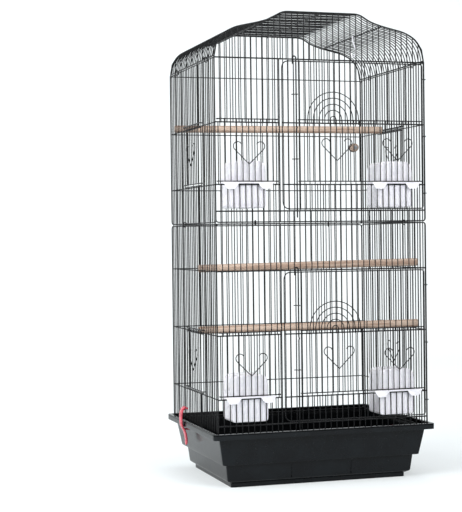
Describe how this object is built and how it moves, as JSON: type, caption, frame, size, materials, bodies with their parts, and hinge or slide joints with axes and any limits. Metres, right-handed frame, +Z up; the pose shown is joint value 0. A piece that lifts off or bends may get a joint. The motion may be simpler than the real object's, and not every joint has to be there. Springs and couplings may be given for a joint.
{
  "type": "bird cage",
  "caption": "Tall wire bird cage with an arched roof, front doors with heart-trimmed sliding hatches, feeders and wood perches, clipped into a black moulded tray.",
  "frame": {"origin": "middle of the foot that the tray stands on", "axes": "+Z up, -Y towards the front with the doors, +X towards the hinges of the doors"},
  "size_m": [0.4724, 0.354, 0.9213],
  "materials": {
    "black_wire": "semi-gloss black enamel on steel wire",
    "black_plastic": "moulded black plastic with a soft sheen",
    "white_plastic": "translucent white plastic",
    "perch_wood": "plain sanded wood",
    "red_plastic": "glossy red plastic",
    "screw_steel": "plain steel"
  },
  "bodies": {
    "cage": {"tray": "black_plastic", "back_lower": "black_wire", "back_upper": "black_wire", "left_lower": "black_wire", "left_upper": "black_wire", "right_lower": "black_wire", "right_upper": "black_wire", "front_lower": "black_wire", "front_upper": "black_wire", "roof": "black_wire", "feeder_lower_left": "white_plastic", "feeder_upper_left": "white_plastic", "perch_upper": "perch_wood", "perch_middle": "perch_wood", "perch_lower": "perch_wood", "perch_stub": "perch_wood", "perch_stub_screw": "screw_steel", "seam_clip_front": "black_wire", "seam_clip_back": "black_wire", "seam_clip_left": "black_wire", "seam_clip_right": "black_wire", "eave_clip_left_1": "black_wire", "eave_clip_left_2": "black_wire", "eave_clip_right_1": "black_wire", "eave_clip_right_2": "black_wire"},
    "lower_door": {"door_lower": "black_wire", "feeder_lower_right": "white_plastic"},
    "upper_door": {"door_upper": "black_wire", "feeder_upper_right": "white_plastic"},
    "lower_latch": {"latch_rod_lower": "black_wire"},
    "upper_latch": {"latch_rod_upper": "black_wire"},
    "lower_left_hatch": {"hatch_lower_left": "black_wire"},
    "lower_middle_hatch": {"hatch_lower_middle": "black_wire"},
    "lower_right_hatch": {"hatch_lower_right": "black_wire"},
    "lower_left_side_hatch": {"hatch_lower_left_side": "black_wire"},
    "lower_right_side_hatch": {"hatch_lower_right_side": "black_wire"},
    "upper_left_hatch": {"hatch_upper_left": "black_wire"},
    "upper_middle_hatch": {"hatch_upper_middle": "black_wire"},
    "upper_right_hatch": {"hatch_upper_right": "black_wire"},
    "upper_left_side_hatch": {"hatch_upper_left_side": "black_wire"},
    "upper_right_side_hatch": {"hatch_upper_right_side": "black_wire"},
    "left_clip": {"tray_clip_left": "red_plastic"},
    "right_clip": {"tray_clip_right": "red_plastic"},
    "hook": {"swing_hook": "white_plastic"}
  },
  "joints": [
    {"name": "lower_door_hinge", "type": "hinge", "parent": "cage", "child": "lower_door", "pos_m": [0.2175, -0.165, 0.272], "axis": [0, 0, 1], "range_deg": [0, 110]},
    {"name": "upper_door_hinge", "type": "hinge", "parent": "cage", "child": "upper_door", "pos_m": [0.2175, -0.165, 0.6815], "axis": [0, 0, 1], "range_deg": [0, 110]},
    {"name": "lower_latch_slide", "type": "slide", "parent": "lower_door", "child": "lower_latch", "axis": [0, 0, 1], "range_m": [0, 0.025]},
    {"name": "upper_latch_slide", "type": "slide", "parent": "upper_door", "child": "upper_latch", "axis": [0, 0, 1], "range_m": [0, 0.025]},
    {"name": "lower_left_hatch_slide", "type": "slide", "parent": "cage", "child": "lower_left_hatch", "axis": [0, 0, 1], "range_m": [0, 0.105]},
    {"name": "lower_middle_hatch_slide", "type": "slide", "parent": "lower_door", "child": "lower_middle_hatch", "axis": [0, 0, 1], "range_m": [0, 0.105]},
    {"name": "lower_right_hatch_slide", "type": "slide", "parent": "lower_door", "child": "lower_right_hatch", "axis": [0, 0, 1], "range_m": [0, 0.105]},
    {"name": "lower_left_side_hatch_slide", "type": "slide", "parent": "cage", "child": "lower_left_side_hatch", "axis": [0, 0, 1], "range_m": [0, 0.105]},
    {"name": "lower_right_side_hatch_slide", "type": "slide", "parent": "cage", "child": "lower_right_side_hatch", "axis": [0, 0, 1], "range_m": [0, 0.105]},
    {"name": "upper_left_hatch_slide", "type": "slide", "parent": "cage", "child": "upper_left_hatch", "axis": [0, 0, 1], "range_m": [0, 0.105]},
    {"name": "upper_middle_hatch_slide", "type": "slide", "parent": "upper_door", "child": "upper_middle_hatch", "axis": [0, 0, 1], "range_m": [0, 0.105]},
    {"name": "upper_right_hatch_slide", "type": "slide", "parent": "upper_door", "child": "upper_right_hatch", "axis": [0, 0, 1], "range_m": [0, 0.105]},
    {"name": "upper_left_side_hatch_slide", "type": "slide", "parent": "cage", "child": "upper_left_side_hatch", "axis": [0, 0, 1], "range_m": [0, 0.105]},
    {"name": "upper_right_side_hatch_slide", "type": "slide", "parent": "cage", "child": "upper_right_side_hatch", "axis": [0, 0, 1], "range_m": [0, 0.105]},
    {"name": "left_clip_pivot", "type": "hinge", "parent": "cage", "child": "left_clip", "pos_m": [-0.215, 0.051, 0.093], "axis": [0, -1, 0], "range_deg": [0, 20]},
    {"name": "right_clip_pivot", "type": "hinge", "parent": "cage", "child": "right_clip", "pos_m": [0.215, 0.051, 0.093], "axis": [0, 1, 0], "range_deg": [0, 20]},
    {"name": "hook_swing", "type": "hinge", "parent": "cage", "child": "hook", "pos_m": [0.126, -0.02444, 0.89612], "axis": [0, 1, 0], "range_deg": [-45, 45]}
  ]
}
